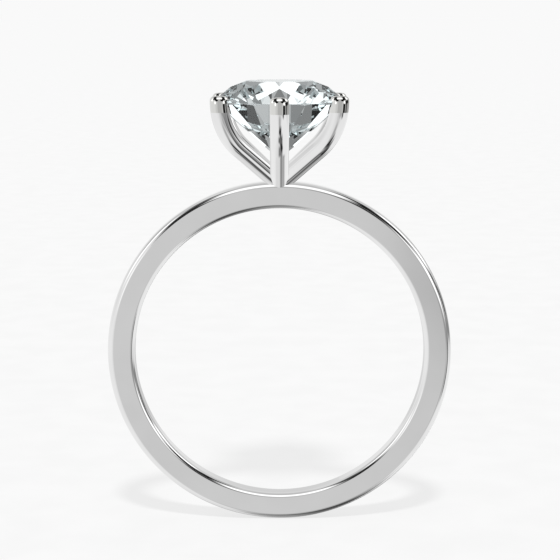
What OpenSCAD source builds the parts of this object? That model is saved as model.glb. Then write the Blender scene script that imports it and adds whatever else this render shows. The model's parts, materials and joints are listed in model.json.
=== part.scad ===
// Solitaire engagement ring: a plain band, a head of six round claws that meet
// in a point on top of it, and a round brilliant stone gripped by six claw tips.
// Millimetres. The origin is the centre of the finger bore, +Z points to the
// stone and the finger goes through along Y.

/* [Band] */
// Diameter of the finger bore
bore_d = 16.5; // [14:0.1:22]
// Thickness of the band, from the bore to its crest
band_t = 1.52; // [1.3:0.02:2.2]
// Width of the band along the finger
band_w = 1.2; // [1.1:0.05:2]
// Rounding of the two outer edges of the band
outer_round = 0.33; // [0.1:0.01:0.4]
// Rounding of the two inner edges of the band
inner_round = 0.265; // [0.1:0.005:0.4]

/* [Claws] */
// Diameter of a claw
claw_d = 1.04; // [0.9:0.02:1.1]
// Rise of the straight lower part of a claw, in degrees
claw_slope = 38.6; // [37:0.1:41]
// Radius of the bend from the straight part to upright
claw_bend = 3.4; // [3:0.1:3.8]
// Distance from the head's axis to the middle of an upright claw
claw_reach = 3.8; // [3.75:0.01:3.85]
// How far below the band's crest the claw centre lines would meet
claw_sink = 0.14; // [0.1:0.01:0.2]

/* [Claw tips] */
// Length of a tip below the end of the bend
tip_skirt = 0.6; // [0.5:0.05:0.8]
// Length of a tip's straight upright part above the bend
tip_rise = 0.05; // [0.02:0.01:0.15]
// Shoulder radius of a tip
tip_shoulder = 0.24; // [0.2:0.01:0.25]
// Radius of the shallow dome on top of a tip
tip_dome = 2; // [1.2:0.1:3]

/* [Peg] */
// Diameter of the peg that joins the head to the band
peg_d = 0.6; // [0.4:0.05:0.65]
// How far the peg reaches into the head above the band's crest
peg_reach = 0.36; // [0.2:0.02:0.4]

/* [Stone] */
// Diameter of the stone at its girdle
stone_d = 7.24; // [7.1:0.02:7.3]
// Table width, as a share of the stone's diameter
table_share = 0.553; // [0.5:0.005:0.62]
// Slope of the crown main facets, in degrees
crown_slope = 33.5; // [32:0.1:35.5]
// Slope of the pavilion main facets, in degrees
pavilion_slope = 40.9; // [40:0.1:41.5]
// Length of the star facets, as a share of the way from table to girdle
star_share = 0.49; // [0.4:0.01:0.55]
// Length of the lower girdle facets, as a share of the way to the culet
lower_share = 0.78; // [0.7:0.01:0.85]
// Thickness of the girdle at its thickest
girdle_t = 0.14; // [0.14:0.01:0.2]
// How far the girdle's middle sits below the end of the claws' bends
girdle_drop = 0.08; // [0:0.01:0.12]
// Gap between the stone and the seats cut for it in the tips
seat_gap = 0.01; // [0.005:0.005:0.02]

/* [Hidden] */
$fn = 72;

claws = 6;             // all alike and evenly spaced, one name each in NODES
claw_step = 360 / claws;
bore_r = bore_d / 2;
crest_r = bore_r + band_t;
claw_r = claw_d / 2;
past = 0.5;            // how far a blank or cutter runs past what it meets
far = 3 * crest_r;     // larger than the whole ring

// Centre line of a claw in its own upright plane: x away from the head's axis, z up
meet_z = crest_r - claw_sink;
bend_x = claw_reach - claw_bend;
bend_start_x = bend_x + claw_bend * sin(claw_slope);
bend_z = meet_z + bend_start_x * tan(claw_slope) + claw_bend * cos(claw_slope);
seam_z = bend_z - tip_skirt;
dome_z = bend_z + tip_rise;

// Top of a tip: a shoulder arc that runs smoothly into the dome arc
shoulder_x = claw_r - tip_shoulder;
dome_centre = -sqrt(pow(tip_dome - tip_shoulder, 2) - pow(shoulder_x, 2));
blend_x = shoulder_x * tip_dome / (tip_dome - tip_shoulder);

// Corners of the brilliant cut, measured from the middle of the girdle
stone_r = stone_d / 2;
eighth = 45;
girdle_top = girdle_t / 2;
table_r = stone_r * table_share;
table_mid = table_r * cos(eighth / 2);
table_z = girdle_top + (stone_r - table_r) * tan(crown_slope);
star_r = table_mid + star_share * (stone_r - table_mid);
star_z = girdle_top + (stone_r - star_r * cos(eighth / 2)) * tan(crown_slope);
culet_z = -girdle_top - stone_r * tan(pavilion_slope);
lower_r = stone_r * (1 - lower_share);
lower_z = culet_z + lower_r * cos(eighth / 2) * tan(pavilion_slope);
stone_z = bend_z - girdle_drop;

// Slopes of the facets that lie between the main ones
star_slope = atan2(table_z - star_z, star_r - table_mid);
upper_slope = atan2(star_z - girdle_top, (stone_r - star_r) * cos(eighth / 4));
lower_slope = atan2(-girdle_top - lower_z, (stone_r - lower_r) * cos(eighth / 4));

// Cross-section of the band: x out from the finger's axis, y along the finger
module band_section() {
    for (side = [-1, 1]) {
        translate([bore_r + inner_round, side * (band_w / 2 - inner_round)])
            circle(inner_round);
        translate([crest_r - outer_round, side * (band_w / 2 - outer_round)])
            circle(outer_round);
    }
    translate([bore_r, inner_round - band_w / 2])
        square([band_t / 2, band_w - 2 * inner_round]);
    translate([bore_r + inner_round, -band_w / 2])
        square([band_t - inner_round - outer_round, band_w]);
    translate([crest_r - band_t / 2, outer_round - band_w / 2])
        square([band_t / 2, band_w - 2 * outer_round]);
}

module band_ring() {
    rotate([90, 0, 0])
        rotate([0, 0, -90])
            rotate_extrude()
                band_section();
}

module peg_hole() {
    cylinder(r = peg_d / 2, h = crest_r + peg_reach);
}

// The band, drilled through at the top for the peg
module shank() {
    color("silver")
        difference() {
            band_ring();
            peg_hole();
        }
}

// The peg fills its hole and is filed flush with the finger bore
module head_peg() {
    color("darkgray")
        difference() {
            peg_hole();
            rotate([90, 0, 0])
                cylinder(r = bore_r, h = far, center = true);
        }
}

// Round wire of a whole claw: a straight run, then a bend that ends upright
module claw_wire() {
    translate([bend_x, 0, bend_z])
        rotate([90, 0, 0])
            rotate([0, 0, claw_slope - 90]) {
                rotate_extrude(angle = 90 - claw_slope)
                    translate([claw_bend, 0])
                        circle(claw_r);
                translate([claw_bend, 0, 0])
                    rotate([90, 0, 0])
                        cylinder(r = claw_r, h = bend_start_x / cos(claw_slope) + claw_d);
            }
}

// One claw's share of the space round the head's axis, up to the seam
module claw_share() {
    half_width = far * tan(claw_step / 2);
    linear_extrude(seam_z)
        polygon([[0, 0], [far, -half_width], [far, half_width]]);
}

// A claw meets its two neighbours face to face and sits on the band
module claw(turn) {
    color("gainsboro")
        rotate([0, 0, turn])
            intersection() {
                difference() {
                    claw_wire();
                    rotate([0, 0, -turn])
                        band_ring();
                    peg_hole();
                }
                claw_share();
            }
}

// Half outline of a tip above the bend: upright part, shoulder and dome
module dome_outline() {
    translate([0, -tip_rise])
        square([claw_r, tip_rise]);
    intersection() {
        square([blend_x, tip_dome]);
        translate([0, dome_centre])
            circle(tip_dome);
    }
    translate([shoulder_x, 0])
        intersection() {
            circle(tip_shoulder);
            square(tip_shoulder);
        }
}

// Space that the stone turns in, with the seat gap all round
module seat_space() {
    translate([0, 0, stone_z])
        rotate_extrude()
            polygon([[0, culet_z - seat_gap],
                     [lower_r + seat_gap, lower_z - seat_gap],
                     [stone_r + seat_gap, -girdle_top - seat_gap],
                     [stone_r + seat_gap, girdle_top + seat_gap],
                     [star_r + seat_gap, star_z + seat_gap],
                     [table_r, table_z + seat_gap],
                     [0, table_z + seat_gap]]);
}

// A tip continues its claw above the seam and hooks over the stone's girdle
module claw_tip(turn) {
    color("lightslategray")
        difference() {
            rotate([0, 0, turn]) {
                intersection() {
                    claw_wire();
                    translate([0, -claw_d, seam_z])
                        cube([far, 2 * claw_d, far]);
                }
                translate([claw_reach, 0, dome_z])
                    rotate_extrude()
                        dome_outline();
            }
            seat_space();
        }
}

// Eight equal facets as one pyramid: each faces its azimuth from turn onwards at
// slope degrees and passes through the point at radius r and height z
module eight_facets(turn, slope, r, z, side) {
    height = stone_d;
    translate([0, 0, z + side * r * tan(slope)])
        mirror([0, 0, max(side, 0)])
            rotate([0, 0, turn + eighth / 2])
                cylinder(r1 = 0, r2 = height / tan(slope) / cos(eighth / 2), h = height, $fn = 8);
}

// Round brilliant: a round blank and the pyramids whose faces are its facets
module diamond() {
    girdle_mid = stone_r * cos(eighth / 4);
    color("azure")
        translate([0, 0, stone_z])
            intersection() {
                translate([0, 0, culet_z - past])
                    cylinder(r = stone_r, h = table_z - culet_z + past);
                eight_facets(0, star_slope, table_mid, table_z, 1);
                eight_facets(eighth / 2, crown_slope, stone_r, girdle_top, 1);
                eight_facets(eighth / 4, upper_slope, girdle_mid, girdle_top, 1);
                eight_facets(-eighth / 4, upper_slope, girdle_mid, girdle_top, 1);
                eight_facets(eighth / 2, pavilion_slope, stone_r, -girdle_top, -1);
                eight_facets(eighth / 4, lower_slope, girdle_mid, -girdle_top, -1);
                eight_facets(-eighth / 4, lower_slope, girdle_mid, -girdle_top, -1);
            }
}

// Claw 1 is at the front, towards -Y, and the others follow anticlockwise
function claw_turn(number) = -90 + (number - 1) * claw_step;

shank();
head_peg();
for (i = [1 : claws]) {
    claw(claw_turn(i));
    claw_tip(claw_turn(i));
}
diamond();
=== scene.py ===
"""A solitaire engagement ring in polished white metal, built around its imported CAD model.

Lengths are in metres and the frame is the CAD model's: the origin is the centre of the
finger bore, +Z points to the stone and the finger goes through along Y.
"""
import json
import math

import bmesh
import bpy
from mathutils import Matrix, Vector


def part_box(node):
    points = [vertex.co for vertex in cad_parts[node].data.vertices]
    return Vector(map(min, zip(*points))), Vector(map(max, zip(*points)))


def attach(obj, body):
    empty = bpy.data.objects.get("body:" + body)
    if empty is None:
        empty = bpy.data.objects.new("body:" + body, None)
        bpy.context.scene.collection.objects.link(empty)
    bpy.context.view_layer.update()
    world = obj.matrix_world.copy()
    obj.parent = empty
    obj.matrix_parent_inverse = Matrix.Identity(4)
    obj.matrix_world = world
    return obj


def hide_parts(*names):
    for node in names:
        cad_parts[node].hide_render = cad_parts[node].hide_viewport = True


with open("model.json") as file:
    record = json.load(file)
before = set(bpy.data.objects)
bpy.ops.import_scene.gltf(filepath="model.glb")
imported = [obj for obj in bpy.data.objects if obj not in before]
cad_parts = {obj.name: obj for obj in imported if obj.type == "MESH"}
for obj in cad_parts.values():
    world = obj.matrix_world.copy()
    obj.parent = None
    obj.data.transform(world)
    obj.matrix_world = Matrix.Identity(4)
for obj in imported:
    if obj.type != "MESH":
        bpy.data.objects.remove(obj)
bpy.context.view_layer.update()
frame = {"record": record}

MM = 0.001
CLAWS = 6

# Sizes that the CAD model's boxes and its bore's mount give
BAND_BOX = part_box("shank")
CLAW_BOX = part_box("claw_1")
TIP_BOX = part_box("claw_tip_1")
STONE_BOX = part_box("diamond")
PEG_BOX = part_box("head_peg")
MOUNTS = {mount["name"]: mount for mount in frame["record"]["mounts"]}
BORE_R = MOUNTS["finger_bore"]["dims"]["r_mm"] * MM
CREST_R = -BAND_BOX[0].z
BAND_HALF = BAND_BOX[1].y
CLAW_R = CLAW_BOX[1].x
CLAW_REACH = -TIP_BOX[0].y - CLAW_R
SEAM_Z = CLAW_BOX[1].z
STONE_R = STONE_BOX[1].x
TABLE_Z = STONE_BOX[1].z
CULET_Z = STONE_BOX[0].z
PEG_R = PEG_BOX[1].x
PEG_TOP = PEG_BOX[1].z

# Sizes that they don't give, the same as in the CAD model
OUTER_ROUND = 0.33 * MM
INNER_ROUND = 0.265 * MM
CLAW_SLOPE = math.radians(38.6)
CLAW_BEND = 3.4 * MM
CLAW_SINK = 0.14 * MM
TIP_RISE = 0.05 * MM
TIP_SHOULDER = 0.24 * MM
TIP_DOME = 2.0 * MM
TABLE_SHARE = 0.553
CROWN_SLOPE = math.radians(33.5)
PAVILION_SLOPE = math.radians(40.9)
STAR_SHARE = 0.49
LOWER_SHARE = 0.78
SEAT_GAP = 0.01 * MM

# A brilliant cut repeats eight times round its axis, and has twice as many facets on
# either side of its girdle
EIGHTH = math.pi / 4
GIRDLE_FACETS = 16
GIRDLE_STEP = 2 * math.pi / GIRDLE_FACETS

# A tip is shaded softer than it is built: its normal turns from level to upright over
# this height, and begins to turn this far below the end of the bend
TIP_SHADING = 0.46 * MM
TIP_SHADING_DROP = 0.1 * MM

# A face is shaded as curved where the cosine between its own normal and that of the
# curved surface is above this
ALIKE = 0.9
ALIKE_ON_TIPS = 0.6

# How strongly diamond bends light, and a roughness too small to be seen, which tells the
# world that a ray left the stone's mirror and not the perfectly sharp tips
DIAMOND_IOR = 2.418
NEARLY_SHARP = 0.005

# The floor glows like a light table, so that with its other light it matches the backdrop
BACKDROP = 0.948
FLOOR_ALBEDO = 0.1
FLOOR_GRAIN = 0.005
KEY_ON_FLOOR = 0.1
EVEN_ON_FLOOR = 0.1
FLOOR_GLOW = BACKDROP - KEY_ON_FLOOR - EVEN_ON_FLOOR
KEY_TILT = math.radians(28.5)
KEY_SPREAD = math.radians(7)

# The seats are cut at this many times life size, where the solver is accurate
ENLARGED = 1000

# Points this near to each other are joined, and points this near to a plane lie on it
SAME_POINT = 1e-8
ON_PLANE = 1e-9

# Centre line of a claw in its own upright plane: x away from the head's axis, z up
MEET_Z = CREST_R - CLAW_SINK
BEND_X = CLAW_REACH - CLAW_BEND
BEND_START_X = BEND_X + CLAW_BEND * math.sin(CLAW_SLOPE)
BEND_Z = MEET_Z + BEND_START_X * math.tan(CLAW_SLOPE) + CLAW_BEND * math.cos(CLAW_SLOPE)
STRAIGHT = BEND_START_X / math.cos(CLAW_SLOPE)
MEET = Vector((0, 0, MEET_Z))
ALONG = Vector((math.cos(CLAW_SLOPE), 0, math.sin(CLAW_SLOPE)))
BEND_CENTRE = Vector((BEND_X, 0, BEND_Z))

# Top of a tip: a shoulder arc that runs smoothly into the dome arc
DOME_Z = BEND_Z + TIP_RISE
SHOULDER_X = CLAW_R - TIP_SHOULDER
DOME_CENTRE = DOME_Z - math.sqrt((TIP_DOME - TIP_SHOULDER) ** 2 - SHOULDER_X ** 2)
BLEND_X = SHOULDER_X * TIP_DOME / (TIP_DOME - TIP_SHOULDER)


# ---------------------------------------------------------------- object and mesh helpers

def new_object(name, data):
    thing = bpy.data.objects.new(name, data)
    bpy.context.scene.collection.objects.link(thing)
    return thing


def hide_from_mirrors(thing):
    """Neither the metal nor the stone shows it."""
    thing.visible_glossy = False
    thing.visible_transmission = False


def new_piece(name, mesh, node, slot, *materials):
    """Puts a finished mesh in the scene as the piece that stands for a CAD node."""
    piece = new_object(name, mesh)
    for material in materials:
        mesh.materials.append(material)
    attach(piece, "root")
    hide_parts(node)
    if node != "diamond":
        hide_from_mirrors(piece)
    return piece


def mesh_from(name, points, faces):
    mesh = bpy.data.meshes.new(name)
    mesh.from_pydata(points, [], faces)
    mesh.update()
    return mesh


def shade_like(mesh, surface_normal, alike=ALIKE):
    """Gives each corner the normal that the function has for its place.

    A face that looks another way, such as a cut end, keeps its own flat normal."""
    normals = []
    for face in mesh.polygons:
        for corner in face.vertices:
            smooth = surface_normal(mesh.vertices[corner].co)
            on_surface = smooth.dot(face.normal) > alike
            normals.append(smooth if on_surface else face.normal.copy())
    mesh.normals_split_custom_set(normals)


def full_turn(steps):
    """Evenly spaced angles all the way round."""
    return [2 * math.pi * i / steps for i in range(steps)]


def rings_to_faces(ring_count, ring_size, endless=False):
    """Quads between neighbouring rings, each a closed loop of points.

    In an endless row of rings, the last one also joins the first."""
    faces = []
    for i in range(ring_count if endless else ring_count - 1):
        here = i * ring_size
        there = (i + 1) % ring_count * ring_size
        for j in range(ring_size):
            k = (j + 1) % ring_size
            faces.append((here + j, here + k, there + k, there + j))
    return faces


def closed_tube(name, rings):
    """A closed mesh through rings of points; rings that shrink to one point are joined."""
    size = len(rings[0])
    points = [point for ring in rings for point in ring]
    faces = rings_to_faces(len(rings), size)
    faces.append(tuple(range(size))[::-1])
    faces.append(tuple(range(len(points) - size, len(points))))
    mesh = mesh_from(name, points, faces)
    work = bmesh.new()
    work.from_mesh(mesh)
    bmesh.ops.remove_doubles(work, verts=work.verts[:], dist=SAME_POINT)
    bmesh.ops.recalc_face_normals(work, faces=work.faces[:])
    work.to_mesh(mesh)
    work.free()
    mesh.update()
    return mesh


def trim(mesh, plane_point, plane_normal):
    """Cuts away what lies on the normal's side of a plane and closes the cut."""
    work = bmesh.new()
    work.from_mesh(mesh)
    cut = bmesh.ops.bisect_plane(work, geom=work.verts[:] + work.edges[:] + work.faces[:],
                                 plane_co=plane_point, plane_no=plane_normal,
                                 dist=ON_PLANE, clear_outer=True)
    rim = [edge for edge in cut["geom_cut"] if isinstance(edge, bmesh.types.BMEdge)]
    bmesh.ops.contextual_create(work, geom=rim)
    bmesh.ops.recalc_face_normals(work, faces=work.faces[:])
    work.to_mesh(mesh)
    work.free()
    mesh.update()


# ---------------------------------------------------------------- the band and the peg

def corner_arc(centre_r, centre_y, radius, start, steps):
    """Points and normals of a quarter circle in the band's cross-section."""
    arc = []
    for i in range(steps + 1):
        turn = start + math.pi / 2 * i / steps
        normal = (math.cos(turn), math.sin(turn))
        arc.append(((centre_r + radius * normal[0], centre_y + radius * normal[1]), normal))
    return arc


def band_section(steps=14):
    """The cross-section as (radius, y) points with normals, anticlockwise."""
    outer_r = CREST_R - OUTER_ROUND
    inner_r = BORE_R + INNER_ROUND
    outer_y = BAND_HALF - OUTER_ROUND
    inner_y = BAND_HALF - INNER_ROUND
    return (corner_arc(outer_r, outer_y, OUTER_ROUND, 0, steps)
            + corner_arc(inner_r, inner_y, INNER_ROUND, math.pi / 2, steps)
            + corner_arc(inner_r, -inner_y, INNER_ROUND, math.pi, steps)
            + corner_arc(outer_r, -outer_y, OUTER_ROUND, 1.5 * math.pi, steps))


def make_band(material, turns=720):
    section = band_section()
    points, normals = [], []
    for turn in full_turn(turns):
        out = Vector((math.cos(turn), 0, math.sin(turn)))
        for (radius, y), (normal_r, normal_y) in section:
            points.append(out * radius + Vector((0, y, 0)))
            normals.append(out * normal_r + Vector((0, normal_y, 0)))
    mesh = mesh_from("band", points, rings_to_faces(turns, len(section), endless=True))
    mesh.normals_split_custom_set_from_vertices(normals)
    new_piece("band", mesh, "shank", "white_metal", material)


def bore_normal(point):
    """Normal of the bore's surface, towards the finger."""
    return -Vector((point.x, 0, point.z)).normalized()


def make_peg(material, steps=64, flush_rings=6):
    """The peg's round end, filed to the curve of the bore, and its hidden shaft."""
    rings = []
    for i in range(flush_rings + 1):
        radius = PEG_R * i / flush_rings
        circle = [(radius * math.cos(turn), radius * math.sin(turn)) for turn in full_turn(steps)]
        rings.append([(x, y, math.sqrt(BORE_R ** 2 - x ** 2)) for x, y in circle])
    rings.append([(x, y, PEG_TOP) for x, y in circle])
    mesh = closed_tube("peg", rings)
    shade_like(mesh, bore_normal)
    new_piece("peg", mesh, "head_peg", "white_metal", material)


# ---------------------------------------------------------------- claws and tips

def claw_turn(number):
    """Azimuth of a claw: claw 1 is at the front, the others follow anticlockwise."""
    return -math.pi / 2 + (number - 1) * 2 * math.pi / CLAWS


def wire_normal(point):
    """Normal of the claw's round wire at a point, in the claw's own frame."""
    reach = (point - MEET).dot(ALONG)
    if reach < STRAIGHT:
        nearest = MEET + ALONG * reach
    else:
        spoke = Vector((point.x - BEND_X, 0, point.z - BEND_Z)).normalized()
        nearest = BEND_CENTRE + spoke * CLAW_BEND
    return (point - nearest).normalized()


def tip_normal(point):
    """Normal that a tip is shaded with: level at its seam, softer than its shoulder above."""
    flat = Vector((point.x - CLAW_REACH, point.y, 0))
    if point.z > BEND_Z:
        outward = flat.normalized()
    else:
        on_wire = wire_normal(point)
        outward = Vector((on_wire.x, on_wire.y, 0)).normalized()
    risen = (point.z - BEND_Z + TIP_SHADING_DROP) / TIP_SHADING
    tilt = math.asin(min(max(risen, 0), 1))
    if point.z > DOME_Z and flat.length < BLEND_X:
        tilt = math.pi / 2 - (math.pi / 2 - tilt) * flat.length / BLEND_X
    return outward * math.cos(tilt) + Vector((0, 0, math.sin(tilt)))


def wire_ring(centre, along, ring_size):
    """One ring of the wire, square to its direction in the claw's upright plane."""
    side = Vector((0, 1, 0))
    other = along.cross(side)
    return [centre + CLAW_R * (math.cos(turn) * side + math.sin(turn) * other)
            for turn in full_turn(ring_size)]


def bend_ring(share, ring_size):
    """A ring on the bend: share 0 is its start, share 1 its upright end."""
    turn = CLAW_SLOPE + (math.pi / 2 - CLAW_SLOPE) * share
    centre = BEND_CENTRE + CLAW_BEND * Vector((math.sin(turn), 0, -math.cos(turn)))
    return wire_ring(centre, Vector((math.cos(turn), 0, math.sin(turn))), ring_size)


def make_claw(number, material, ring_size=96, straight_rings=12, bend_rings=48):
    """A whole wire that starts below the meeting point, trimmed to its share and its seam."""
    below = 2 * CLAW_R
    rings = []
    for i in range(straight_rings):
        reach = (STRAIGHT + below) * i / straight_rings - below
        rings.append(wire_ring(MEET + ALONG * reach, ALONG, ring_size))
    rings += [bend_ring(i / bend_rings, ring_size) for i in range(bend_rings + 1)]
    mesh = closed_tube("claw_wire", rings)
    half_share = math.pi / CLAWS
    for side in (-1, 1):
        trim(mesh, Vector(), Vector((-math.sin(half_share), side * math.cos(half_share), 0)))
    trim(mesh, Vector((0, 0, SEAM_Z)), Vector((0, 0, 1)))
    shade_like(mesh, wire_normal)
    mesh.transform(Matrix.Rotation(claw_turn(number), 4, "Z"))
    new_piece(f"claw_wire_{number}", mesh, f"claw_{number}", "white_metal", material)


def dome_rings(ring_size, shoulder_steps=12, dome_steps=8):
    """Rings of the shoulder and dome, from the upright wire to just short of the top."""
    tangent = math.asin(SHOULDER_X / (TIP_DOME - TIP_SHOULDER))
    outline = []
    for i in range(shoulder_steps + 1):
        turn = (math.pi / 2 - tangent) * i / shoulder_steps
        outline.append((SHOULDER_X + TIP_SHOULDER * math.cos(turn),
                        DOME_Z + TIP_SHOULDER * math.sin(turn)))
    for i in range(1, dome_steps):
        turn = tangent * (1 - i / dome_steps)
        outline.append((TIP_DOME * math.sin(turn), DOME_CENTRE + TIP_DOME * math.cos(turn)))
    return [[Vector((CLAW_REACH - radius * math.sin(turn), radius * math.cos(turn), z))
             for turn in full_turn(ring_size)] for radius, z in outline]


def seat_cutter(steps=256):
    """The stone's outline turned about the head's axis, with the seat gap all round."""
    stone = stone_sizes()
    outline = [(stone["lower_r"] + SEAT_GAP, stone["lower_z"] - SEAT_GAP),
               (STONE_R + SEAT_GAP, stone["girdle_low"] - SEAT_GAP),
               (STONE_R + SEAT_GAP, stone["girdle_top"] + SEAT_GAP),
               (stone["star_r"] + SEAT_GAP, stone["star_z"] + SEAT_GAP),
               (stone["table_r"], TABLE_Z + SEAT_GAP)]
    rings = [[Vector((radius * math.cos(turn), radius * math.sin(turn), z))
              for turn in full_turn(steps)] for radius, z in outline]
    mesh = closed_tube("seat_cutter", rings)
    mesh.transform(Matrix.Scale(ENLARGED, 4))
    return new_object("seat_cutter", mesh)


def make_tip(number, material, cutter, ring_size=96, bend_rings=14, spare=0.12):
    """The end of a claw above its seam, with a dome on top and the stone's seat cut in it.

    The wire starts a spare share of the bend too low and is trimmed at the seam."""
    seam_turn = math.acos((BEND_Z - SEAM_Z) / CLAW_BEND)
    first = (seam_turn - CLAW_SLOPE) / (math.pi / 2 - CLAW_SLOPE) - spare
    shares = [first + (1 - first) * i / bend_rings for i in range(bend_rings + 1)]
    rings = [bend_ring(share, ring_size) for share in shares]
    mesh = closed_tube("tip", rings + dome_rings(ring_size))
    trim(mesh, Vector((0, 0, SEAM_Z)), Vector((0, 0, -1)))
    mesh.transform(Matrix.Scale(ENLARGED, 4))
    piece = new_piece(f"tip_{number}", mesh, f"claw_tip_{number}", "tip_metal", material)
    seat = piece.modifiers.new("seat", "BOOLEAN")
    seat.operation = "DIFFERENCE"
    seat.solver = "EXACT"
    seat.object = cutter
    seen = bpy.context.evaluated_depsgraph_get()
    cut = bpy.data.meshes.new_from_object(piece.evaluated_get(seen))
    piece.modifiers.clear()
    cut.transform(Matrix.Scale(1 / ENLARGED, 4))
    shade_like(cut, tip_normal, ALIKE_ON_TIPS)
    cut.transform(Matrix.Rotation(claw_turn(number), 4, "Z"))
    piece.data = cut


# ---------------------------------------------------------------- the stone

def stone_sizes():
    """Corners of the brilliant cut, worked out from its box and its facet shares."""
    depth = STONE_R * math.tan(PAVILION_SLOPE)
    table_r = STONE_R * TABLE_SHARE
    table_mid = table_r * math.cos(EIGHTH / 2)
    star_r = table_mid + STAR_SHARE * (STONE_R - table_mid)
    lower_r = STONE_R * (1 - LOWER_SHARE)
    girdle_top = TABLE_Z - (STONE_R - table_r) * math.tan(CROWN_SLOPE)
    return {
        "table_r": table_r,
        "girdle_top": girdle_top,
        "girdle_low": CULET_Z + depth,
        "star_r": star_r,
        "star_z": girdle_top + (STONE_R - star_r * math.cos(EIGHTH / 2)) * math.tan(CROWN_SLOPE),
        "lower_r": lower_r,
        "lower_z": CULET_Z + lower_r * math.cos(EIGHTH / 2) * math.tan(PAVILION_SLOPE),
    }


def girdle_edge(azimuth, edge_z, inner_r, inner_z):
    """Height at which a girdle facet's plane meets the round girdle at an azimuth."""
    off_middle = (azimuth / GIRDLE_STEP) % 1 * GIRDLE_STEP - GIRDLE_STEP / 2
    middle = math.cos(GIRDLE_STEP / 2)
    slope = (inner_z - edge_z) / ((STONE_R - inner_r) * middle)
    return edge_z - STONE_R * (math.cos(off_middle) - middle) * slope


def make_stone(facet_material, girdle_material, arc_steps=16):
    """Round brilliant: 33 crown and 24 pavilion facets and a round, scalloped girdle."""
    stone = stone_sizes()
    points, facets = [], []

    def add(radius, azimuth, z):
        points.append((radius * math.cos(azimuth), radius * math.sin(azimuth), z))
        return len(points) - 1

    table = [add(stone["table_r"], EIGHTH * (k + 0.5), TABLE_Z) for k in range(8)]
    stars = [add(stone["star_r"], EIGHTH * k, stone["star_z"]) for k in range(8)]
    lowers = [add(stone["lower_r"], EIGHTH * k, stone["lower_z"]) for k in range(8)]
    culet = add(0, 0, CULET_Z)
    around = GIRDLE_FACETS * arc_steps
    top, low = [], []
    for azimuth in full_turn(around):
        top.append(add(STONE_R, azimuth, girdle_edge(azimuth, stone["girdle_top"],
                                                     stone["star_r"], stone["star_z"])))
        low.append(add(STONE_R, azimuth, girdle_edge(azimuth, stone["girdle_low"],
                                                     stone["lower_r"], stone["lower_z"])))

    def arc(edge, first, last):
        return [edge[i % around] for i in range(first, last + 1)]

    facets.append(table)
    for k in range(8):
        here, half, there = (i * arc_steps for i in (2 * k, 2 * k + 1, 2 * k + 2))
        after = (k + 1) % 8
        facets.append([table[k - 1], stars[k], table[k]])
        facets.append([table[k], stars[k], top[half], stars[after]])
        facets.append([stars[k]] + arc(top, here, half))
        facets.append([stars[after]] + arc(top, half, there))
        facets.append([culet, lowers[after], low[half], lowers[k]])
        facets.append([lowers[k]] + arc(low, here, half)[::-1])
        facets.append([lowers[after]] + arc(low, half, there)[::-1])
    girdle = []
    for i in range(around):
        j = (i + 1) % around
        girdle.append([low[i], low[j], top[j], top[i]])
    mesh = mesh_from("stone", points, facets + girdle)
    new_piece("stone", mesh, "diamond", "stone", facet_material, girdle_material)
    for face in mesh.polygons[len(facets):]:
        face.material_index = 1


# ---------------------------------------------------------------- shader node helpers

def feed(links, source, socket):
    """Gives a socket a plain number or another node's output."""
    if isinstance(source, (int, float)):
        socket.default_value = source
    else:
        links.new(source, socket)


def math_node(nodes, links, operation, first, second=0):
    node = nodes.new("ShaderNodeMath")
    node.operation = operation
    feed(links, first, node.inputs[0])
    feed(links, second, node.inputs[1])
    return node.outputs[0]


def mix_numbers(nodes, links, share, first, second):
    node = nodes.new("ShaderNodeMix")
    feed(links, share, node.inputs["Factor"])
    feed(links, first, node.inputs["A"])
    feed(links, second, node.inputs["B"])
    return node.outputs["Result"]


def mix_shaders(nodes, links, share, first, second):
    node = nodes.new("ShaderNodeMixShader")
    feed(links, share, node.inputs["Fac"])
    links.new(first, node.inputs[1])
    links.new(second, node.inputs[2])
    return node.outputs["Shader"]


def object_point(nodes):
    """The shaded point in the piece's own coordinates."""
    return nodes.new("ShaderNodeTexCoord").outputs["Object"]


def noise(nodes, links, point, scale, detail=2):
    node = nodes.new("ShaderNodeTexNoise")
    node.inputs["Scale"].default_value = scale
    node.inputs["Detail"].default_value = detail
    links.new(point, node.inputs["Vector"])
    return node.outputs["Fac"]


def vary(nodes, links, factor, low, high):
    """A number that a noise varies from low to high."""
    node = nodes.new("ShaderNodeMapRange")
    node.inputs["To Min"].default_value = low
    node.inputs["To Max"].default_value = high
    links.new(factor, node.inputs["Value"])
    return node.outputs["Result"]


def tint(nodes, links, factor, dark, light, dark_at=0.35, light_at=0.65):
    """A colour that a noise varies from dark to light."""
    node = nodes.new("ShaderNodeValToRGB")
    first, last = node.color_ramp.elements
    first.position = dark_at
    first.color = (*dark, 1)
    last.position = light_at
    last.color = (*light, 1)
    links.new(factor, node.inputs["Fac"])
    return node.outputs["Color"]


# ---------------------------------------------------------------- materials

def new_material(name):
    material = bpy.data.materials.new(name)
    material.use_nodes = True
    nodes = material.node_tree.nodes
    return material, nodes, material.node_tree.links, nodes["Principled BSDF"]


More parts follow.
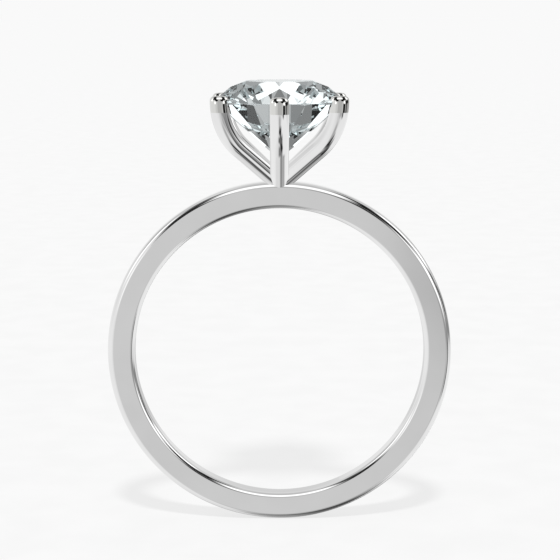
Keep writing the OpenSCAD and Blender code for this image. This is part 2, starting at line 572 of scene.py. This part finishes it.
def polished_metal(name, dark, light, roughness=None):
    """Hand-polished metal: a slight cloudiness and very fine buffing lines.

    Without a lowest and highest roughness it is perfectly sharp."""
    material, nodes, links, shader = new_material(name)
    shader.inputs["Metallic"].default_value = 1
    point = object_point(nodes)
    cloud = noise(nodes, links, point, 350, detail=3)
    links.new(tint(nodes, links, cloud, dark, light), shader.inputs["Base Color"])
    if roughness is None:
        shader.inputs["Roughness"].default_value = 0
    else:
        links.new(vary(nodes, links, cloud, *roughness), shader.inputs["Roughness"])
    stretch = nodes.new("ShaderNodeMapping")
    stretch.inputs["Scale"].default_value = (1, 12, 1)
    links.new(point, stretch.inputs["Vector"])
    lines = noise(nodes, links, stretch.outputs["Vector"], 4000)
    bump = nodes.new("ShaderNodeBump")
    bump.inputs["Strength"].default_value = 0.02
    bump.inputs["Distance"].default_value = 0.002 * MM
    links.new(lines, bump.inputs["Height"])
    links.new(bump.outputs["Normal"], shader.inputs["Normal"])
    return material


def hide_from_metal(nodes, links, shader):
    """Lets a mirrored ray that has not been inside the stone yet pass straight through."""
    ray = nodes.new("ShaderNodeLightPath").outputs
    outside = math_node(nodes, links, "LESS_THAN", ray["Transmission Depth"], 0.5)
    passing = math_node(nodes, links, "MULTIPLY", ray["Is Glossy Ray"], outside)
    clear = nodes.new("ShaderNodeBsdfTransparent")
    return mix_shaders(nodes, links, passing, shader, clear.outputs["BSDF"])


def diamond_facets():
    """Clear and sharp: a facet seen from inside mirrors fully or lets the light straight out."""
    material, nodes, links, spare = new_material("diamond_facets")
    nodes.remove(spare)
    cloud = noise(nodes, links, object_point(nodes), 250)
    colour = tint(nodes, links, cloud, (0.955, 0.98, 0.985), (0.985, 0.998, 1.0))
    bend = nodes.new("ShaderNodeBsdfRefraction")
    bend.inputs["Roughness"].default_value = 0
    bend.inputs["IOR"].default_value = DIAMOND_IOR
    links.new(colour, bend.inputs["Color"])
    mirror = nodes.new("ShaderNodeBsdfGlossy")
    mirror.inputs["Roughness"].default_value = NEARLY_SHARP
    links.new(colour, mirror.inputs["Color"])
    fresnel = nodes.new("ShaderNodeFresnel")
    fresnel.inputs["IOR"].default_value = DIAMOND_IOR
    mirrored = fresnel.outputs["Fac"]
    from_outside = math_node(nodes, links, "POWER", mirrored, 2)
    from_inside = math_node(nodes, links, "GREATER_THAN", mirrored, 0.9)
    side = nodes.new("ShaderNodeNewGeometry").outputs["Backfacing"]
    share = mix_numbers(nodes, links, side, from_outside, from_inside)
    both = mix_shaders(nodes, links, share, bend.outputs["BSDF"], mirror.outputs["BSDF"])
    seen = hide_from_metal(nodes, links, both)
    links.new(seen, nodes["Material Output"].inputs["Surface"])
    return material


def diamond_girdle():
    """The girdle is ground, not polished: a fine frosting."""
    material, nodes, links, shader = new_material("diamond_girdle")
    shader.inputs["Transmission Weight"].default_value = 1
    shader.inputs["IOR"].default_value = DIAMOND_IOR
    grain = noise(nodes, links, object_point(nodes), 9000)
    colour = tint(nodes, links, grain, (0.86, 0.89, 0.9), (0.95, 0.97, 0.98))
    links.new(colour, shader.inputs["Base Color"])
    links.new(vary(nodes, links, grain, 0.2, 0.4), shader.inputs["Roughness"])
    seen = hide_from_metal(nodes, links, shader.outputs["BSDF"])
    links.new(seen, nodes["Material Output"].inputs["Surface"])
    return material


def floor_material():
    """A matt grey that glows evenly."""
    material, nodes, links, shader = new_material("studio_floor")
    shader.inputs["Roughness"].default_value = 1
    shader.inputs["Specular IOR Level"].default_value = 0
    shader.inputs["Emission Color"].default_value = (1, 1, 1, 1)
    shader.inputs["Emission Strength"].default_value = FLOOR_GLOW
    grain = noise(nodes, links, object_point(nodes), 300)
    dark, light = ((FLOOR_ALBEDO + change,) * 3 for change in (-FLOOR_GRAIN, FLOOR_GRAIN))
    links.new(tint(nodes, links, grain, dark, light), shader.inputs["Base Color"])
    return material


# ---------------------------------------------------------------- stage, light and camera

def make_floor(half=20.0):
    """A very large pale floor that the metal and the stone don't mirror."""
    corners = [(x * half, y * half, -CREST_R) for x, y in ((-1, -1), (1, -1), (1, 1), (-1, 1))]
    mesh = mesh_from("floor", corners, [(0, 1, 2, 3)])
    floor = new_object("floor", mesh)
    mesh.materials.append(floor_material())
    hide_from_mirrors(floor)


# What the band, the claws and the outside of the stone mirror: a bright tent with lamps
# and dark flags. Each soft-edged patch has a centre (azimuth from the front, elevation),
# half its width and height, a roll and an edge width, all in degrees, and a brightness.
# Later ones lie over earlier ones.
TENT = 1.0
STUDIO = {
    "rear_low": (180, -10, 34, 7, 0, 4, 0.72),
    "rear_strip": (180, 16, 22, 5, 0, 4, 0.87),
    "left_tent": (-86, -30, 60, 36, 0, 14, 1.19),
    "right_tent": (100, -38, 56, 23, 0, 5, 1.18),
    "zenith": (0, 90, 18, 18, 0, 6, 0.8),
    "front_top": (0, 69, 62, 8, 0, 6, 0.65),
    "left_grey": (-112, 40, 18, 12, 0, 6, 0.75),
    "right_grey": (125, 30, 22, 22, 0, 8, 0.85),
    "nadir": (90, -84, 12, 12, 0, 6, 0.28),
    "back_shade": (-172, -50, 14, 12, 0, 8, 0.5),
    "back_flag": (166, -35, 9, 18, 0, 4, 0.1),
    "low_flag": (110, -72, 36, 6, 0, 5, 0.3),
    "front_low_right": (52, -70, 16, 7, -10, 4, 0.02),
    "front_low_mid": (30, -62, 9, 7, -20, 4, 0.02),
    "front_low_flag": (11, -48, 12, 9, -10, 5, 0.02),
    "front_low_grey": (4, -32, 11, 10, 0, 8, 0.58),
    "front_face": (1, -10, 9, 9, 0, 4, 0.86),
    "right_shade": (110, 4, 30, 6, 0, 5, 0.5),
    "right_flag": (88, 7, 12, 6, 0, 3, 0.06),
    "low_right_flag": (31, -8, 25, 4, 0, 3, 0.45),
    "low_right_end": (49, -15, 8, 8, 0, 3, 0.15),
    "right_low_shade": (85, -3, 35, 4, 0, 3, 0.35),
    "softbox": (3, 41, 29, 19, 0, 5, 1.5),
    "softbox_core": (1, 33, 20, 9, 0, 5, 1.95),
    "softbox_foot": (3, 2, 6, 5, 0, 3, 0.5),
    "left_lamp": (-65, 29, 13, 16, 0, 5, 1.7),
    "left_post": (-88, 36, 3, 8, 0, 2, 0.1),
    "right_lamp": (85, 35, 10, 14, 0, 4, 2.2),
    "right_corner": (63, 20, 7, 12, 0, 4, 0.3),
    "right_post": (61, 8, 4, 8, -20, 2, 0),
    "low_right_lamp": (36, 7, 15, 8, 0, 3, 1.8),
    "low_left_lamp": (-21, 0, 9, 5, 0, 2, 1.5),
    "left_band": (-20, 16, 6, 17, 40, 3, 0.03),
    "left_band_mid": (-35, 34, 9, 13, 40, 4, 0.03),
    "left_band_end": (-54, 53, 9, 11, 50, 6, 0.12),
    "right_band": (14, 11, 5, 13, -40, 3, 0.04),
    "right_band_mid": (39, 31, 11, 17, -48, 4, 0.01),
    "right_band_end": (61, 54, 9, 12, -50, 5, 0),
    "rear_low_shade": (138, -54, 8, 9, 0, 4, 0.55),
    "front_low_edge": (12, -66, 14, 6, 0, 4, 0.2),
    "right_upper_flag": (82, 14, 8, 5, 0, 2, 0.05),
    "right_rear_lamp": (110, 24, 9, 4, 0, 3, 1.6),
    "low_right_shade": (25, -16, 14, 4, 0, 3, 0.6),
    "rear_high_flag": (122, 60, 8, 5, 0, 3, 0.3),
    "right_rear_flag": (150, 9, 10, 7, 0, 3, 0.3),
}
# What the tips mirror instead, in the same terms: they show the lamps and flags larger.
TIP_STUDIO = {
    "left_side": (-95, 0, 48, 28, 0, 8, 1.2),
    "right_side": (135, 0, 54, 30, 0, 6, 0.6),
    "front_face": (6, 8, 27, 48, 0, 5, 0.75),
    "left_strip": (-50, 14, 8, 14, 0, 3, 2.4),
    "right_strip": (60, 15, 8, 15, 0, 3, 2.6),
    "left_lamp": (-104, 32, 11, 14, 0, 4, 2.2),
    "right_lamp": (120, 36, 14, 12, 0, 4, 2.2),
    "left_band": (-36, 40, 14, 12, 30, 3, 0),
    "left_band_mid": (-68, 56, 26, 15, 10, 3, 0),
    "left_band_end": (-105, 60, 22, 11, 0, 5, 0.03),
    "right_band": (40, 42, 15, 13, -30, 3, 0),
    "right_band_mid": (70, 56, 26, 17, -10, 3, 0),
    "right_band_end": (108, 62, 22, 11, 0, 5, 0.02),
    "right_flag": (58, -7, 15, 8, 0, 3, 0.02),
    "right_flag_high": (100, 13, 23, 15, 15, 4, 0.01),
    "softbox": (3, 76, 22, 12, 0, 4, 2.2),
}
# What the facets see after a path through the stone, in the same terms.
STONE_TENT = 0.45
STONE_STUDIO = {
    "rear_top": (180, 48, 50, 30, 0, 8, 0.45),
    "rear_floor": (-173, -28, 33, 14, 0, 4, 1.4),
    "left_wall": (-125, -8, 21, 8, 0, 4, 1.4),
    "right_wall": (125, -8, 21, 8, 0, 4, 1.3),
    "left_lamp": (-62, 29, 22, 23, 0, 5, 1.3),
    "front_low": (10, -35, 60, 24, 0, 8, 0.3),
    "low_front": (-5, -53, 20, 7, 0, 3, 0.05),
    "low_light_l": (-38, -55, 8, 6, 0, 3, 1),
    "low_light_r": (30, -55, 10, 6, 0, 3, 0.8),
    "rear_flag_r": (158, -3, 9, 9, 0, 2, 0.08),
    "rear_flag_l": (-161, -3, 11, 8, 0, 2, 0.22),
    "rear_grey_r": (155, 14, 10, 8, 0, 3, 0.5),
    "rear_grey_l": (-147, 14, 12, 8, 0, 3, 0.25),
    "side_flag_r": (134, -20, 6, 5, 0, 2, 0.05),
    "side_flag_l": (-134, -20, 6, 5, 0, 2, 0.1),
    "right_grey": (78, 28, 17, 30, 0, 4, 0.25),
    "right_low_grey": (46, 8, 18, 11, 0, 4, 0.2),
    "right_floor": (52, -18, 11, 7, 0, 3, 0.3),
    "lamp_right": (53, 40, 9, 12, 0, 3, 1.2),
    "lamp_right_low": (50, 22, 7, 6, 0, 3, 0.8),
    "right_glint": (71, 22, 4, 14, 20, 2, 1.6),
    "front_top": (0, 52, 28, 8, 0, 4, 0.2),
    "overhead": (0, 90, 18, 18, 0, 5, 1.2),
    "right_rear_lamp": (120, 38, 11, 8, 0, 3, 0.9),
    "front_left": (-25, 10, 6, 22, 0, 3, 0.12),
}


def patch_axes(azimuth, elevation, roll):
    """A patch's centre direction and its rolled sideways and upward directions."""
    azimuth, elevation, roll = (math.radians(angle) for angle in (azimuth, elevation, roll))
    centre = Vector((math.sin(azimuth) * math.cos(elevation),
                     -math.cos(azimuth) * math.cos(elevation), math.sin(elevation)))
    side = Vector((math.cos(azimuth), math.sin(azimuth), 0))
    up = centre.cross(side)
    return (centre, side * math.cos(roll) + up * math.sin(roll),
            up * math.cos(roll) - side * math.sin(roll))


def part_along(nodes, links, direction, axis):
    """How much of a direction lies along an axis: the cosine between them."""
    node = nodes.new("ShaderNodeVectorMath")
    node.operation = "DOT_PRODUCT"
    node.inputs[1].default_value = axis
    links.new(direction, node.inputs[0])
    return node.outputs["Value"]


def soft_slab(nodes, links, direction, axis, half_angle, edge_angle):
    """1 where the direction leans less than the half angle along an axis, 0 beyond."""
    lean = math_node(nodes, links, "ABSOLUTE", part_along(nodes, links, direction, axis))
    edge = math.sin(math.radians(edge_angle))
    limit = math.sin(math.radians(half_angle))
    fade = nodes.new("ShaderNodeMapRange")
    fade.interpolation_type = "SMOOTHSTEP"
    fade.inputs["From Min"].default_value = limit - edge
    fade.inputs["From Max"].default_value = limit + edge
    fade.inputs["To Min"].default_value = 1
    fade.inputs["To Max"].default_value = 0
    links.new(lean, fade.inputs["Value"])
    return fade.outputs["Result"]


def add_patch(nodes, links, direction, below, patch):
    """Lays one patch over the brightness below it."""
    azimuth, elevation, half_width, half_height, roll, edge, brightness = patch
    centre, side, up = patch_axes(azimuth, elevation, roll)
    width = soft_slab(nodes, links, direction, side, half_width, edge)
    height = soft_slab(nodes, links, direction, up, half_height, edge)
    ahead = part_along(nodes, links, direction, centre)
    facing = math_node(nodes, links, "GREATER_THAN", ahead, 0)
    mask = math_node(nodes, links, "MULTIPLY", width, height)
    mask = math_node(nodes, links, "MULTIPLY", mask, facing)
    return mix_numbers(nodes, links, mask, below, brightness)


def background(nodes, links, level):
    node = nodes.new("ShaderNodeBackground")
    links.new(level, node.inputs["Color"])
    return node.outputs["Background"]


def patch_background(nodes, links, direction, tent_level, patches):
    """A studio: its patches, laid one after the other over an even tent."""
    tent = nodes.new("ShaderNodeValue")
    tent.outputs[0].default_value = tent_level
    level = tent.outputs[0]
    for patch in patches.values():
        level = add_patch(nodes, links, direction, level, patch)
    return background(nodes, links, level)


def make_world():
    """Three studios for reflections, a plain backdrop for the camera, even light for the floor.

    Rays that have been through the stone see its studio. Of the rest, those off a perfectly
    sharp mirror come from the tips."""
    world = bpy.data.worlds.new("studio")
    world.use_nodes = True
    bpy.context.scene.world = world
    nodes, links = world.node_tree.nodes, world.node_tree.links
    nodes.remove(nodes["Background"])
    direction = nodes.new("ShaderNodeTexCoord").outputs["Generated"]
    ray = nodes.new("ShaderNodeLightPath").outputs
    on_metal = patch_background(nodes, links, direction, TENT, STUDIO)
    on_tips = patch_background(nodes, links, direction, TENT, TIP_STUDIO)
    in_stone = patch_background(nodes, links, direction, STONE_TENT, STONE_STUDIO)
    mirrored = mix_shaders(nodes, links, ray["Is Singular Ray"], on_metal, on_tips)
    refracted = math_node(nodes, links, "GREATER_THAN", ray["Transmission Depth"], 0.5)
    studio = mix_shaders(nodes, links, refracted, mirrored, in_stone)
    plain_level = mix_numbers(nodes, links, ray["Is Camera Ray"],
                              EVEN_ON_FLOOR / FLOOR_ALBEDO, BACKDROP)
    plain = background(nodes, links, plain_level)
    unmirrored = math_node(nodes, links, "MAXIMUM", ray["Is Camera Ray"], ray["Is Diffuse Ray"])
    seen = mix_shaders(nodes, links, unmirrored, studio, plain)
    links.new(seen, nodes["World Output"].inputs["Surface"])
    world.cycles.sampling_method = "NONE"


def make_key_light():
    """A broad light from above the front that only casts the soft shadows on the floor."""
    lamp = bpy.data.lights.new("key", "SUN")
    lamp.energy = KEY_ON_FLOOR * math.pi / (FLOOR_ALBEDO * math.cos(KEY_TILT))
    lamp.angle = KEY_SPREAD
    key = new_object("key", lamp)
    key.rotation_euler = (KEY_TILT, 0, 0)
    hide_from_mirrors(key)


def make_camera(look_down=9.09):
    """In front of the ring, above its crest, and tilted down by so many degrees."""
    camera = new_object("camera", bpy.data.cameras.new("camera"))
    camera.location = (0.03 * MM, -92.33 * MM, 18.89 * MM)
    camera.rotation_euler = (math.radians(90 - look_down), 0, 0)
    camera.data.lens = 105.9
    camera.data.sensor_width = 36
    camera.data.clip_start = 1 * MM
    camera.data.clip_end = 100
    bpy.context.scene.camera = camera


def set_view():
    scene = bpy.context.scene
    scene.view_settings.view_transform = "Standard"
    scene.cycles.max_bounces = 24
    scene.cycles.transmission_bounces = 20
    scene.cycles.glossy_bounces = 10


white_metal = polished_metal("white_metal", (0.65, 0.65, 0.65), (0.68, 0.68, 0.68), (0.02, 0.04))
# The tips are the same metal as the band and claws; this darker, slightly green copy of it is
# painted shade
tip_metal = polished_metal("tip_metal", (0.55, 0.55, 0.535), (0.58, 0.58, 0.565))

make_camera()
make_band(white_metal)
make_peg(white_metal)
seat = seat_cutter()
for claw in range(1, CLAWS + 1):
    make_claw(claw, white_metal)
    make_tip(claw, tip_metal, seat)
bpy.data.objects.remove(seat)
make_stone(diamond_facets(), diamond_girdle())
make_floor()
make_world()
make_key_light()
set_view()
